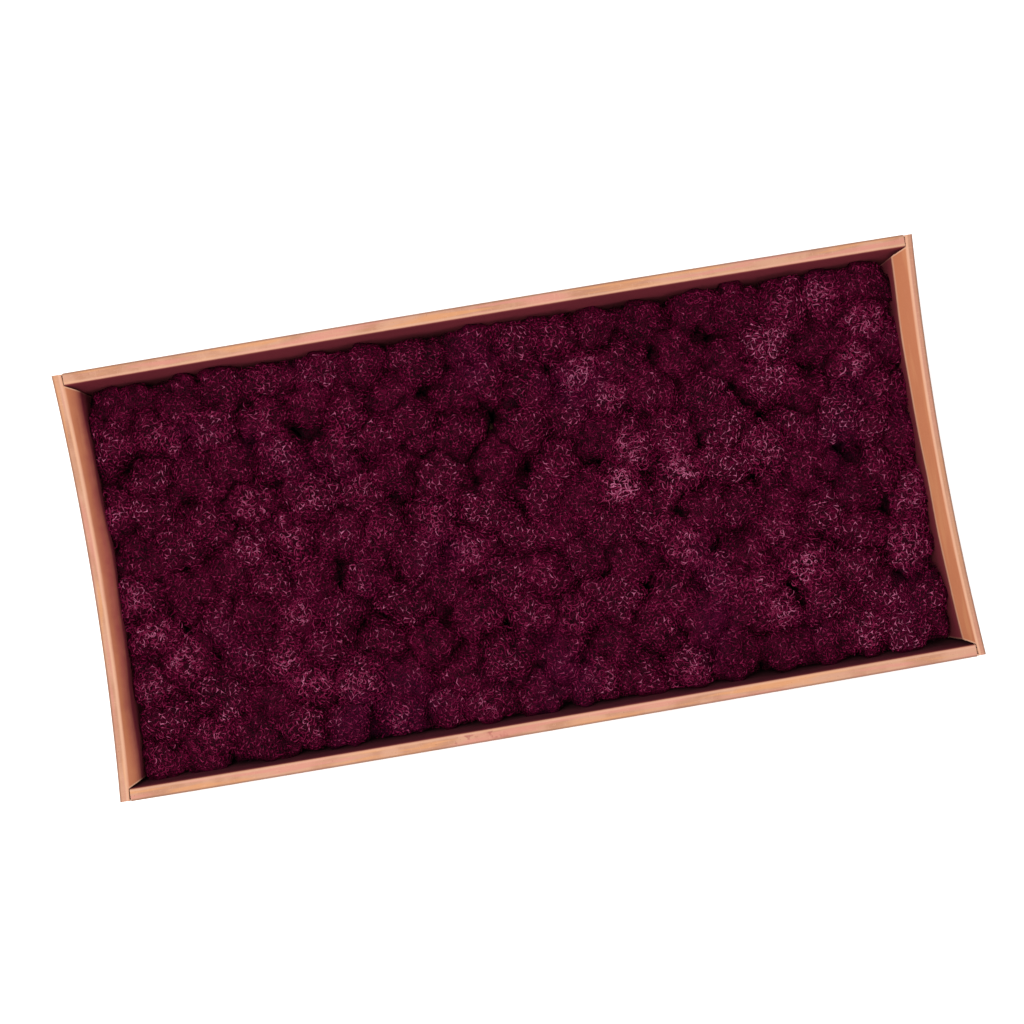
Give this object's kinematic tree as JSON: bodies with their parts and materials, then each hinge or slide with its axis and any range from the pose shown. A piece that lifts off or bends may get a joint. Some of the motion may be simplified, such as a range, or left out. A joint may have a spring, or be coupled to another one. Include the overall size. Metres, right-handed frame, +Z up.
{
  "type": "reindeer moss clump in a board tray",
  "caption": "Cushion of dyed, preserved reindeer moss with round tufted heads, packed heads-up in an open folded board tray with rolled double walls.",
  "frame": {"origin": "centre of the tray's underside", "axes": "+X along the tray's long side, +Y towards its back wall, +Z up out of its open top"},
  "size_m": [0.4, 0.198, 0.08],
  "materials": {
    "kraft_board": "matt, unprinted brown kraft board, stained dark red inside by the dye",
    "dyed_moss": "matt burgundy dyed lichen with paler tips"
  },
  "bodies": {
    "root": {"moss_bunch_01": "dyed_moss", "moss_bunch_02": "dyed_moss", "moss_bunch_03": "dyed_moss", "moss_bunch_04": "dyed_moss", "moss_bunch_05": "dyed_moss", "moss_bunch_06": "dyed_moss", "moss_bunch_07": "dyed_moss", "moss_bunch_08": "dyed_moss", "moss_bunch_09": "dyed_moss", "moss_bunch_10": "dyed_moss", "moss_bunch_11": "dyed_moss", "moss_bunch_12": "dyed_moss", "moss_bunch_13": "dyed_moss", "moss_bunch_14": "dyed_moss", "moss_bunch_15": "dyed_moss", "moss_bunch_16": "dyed_moss", "moss_bunch_17": "dyed_moss", "moss_bunch_18": "dyed_moss", "moss_bunch_19": "dyed_moss", "moss_bunch_20": "dyed_moss", "moss_bunch_21": "dyed_moss", "moss_bunch_22": "dyed_moss", "moss_bunch_23": "dyed_moss", "moss_bunch_24": "dyed_moss", "moss_bunch_25": "dyed_moss", "moss_bunch_26": "dyed_moss", "moss_bunch_27": "dyed_moss", "moss_bunch_28": "dyed_moss", "tray_base": "kraft_board", "tray_corner_tab_back_left": "kraft_board", "tray_corner_tab_back_right": "kraft_board", "tray_corner_tab_front_left": "kraft_board", "tray_corner_tab_front_right": "kraft_board", "tray_end_wall_left": "kraft_board", "tray_end_wall_right": "kraft_board", "tray_long_wall_back": "kraft_board", "tray_long_wall_front": "kraft_board"}
  },
  "joints": []
}
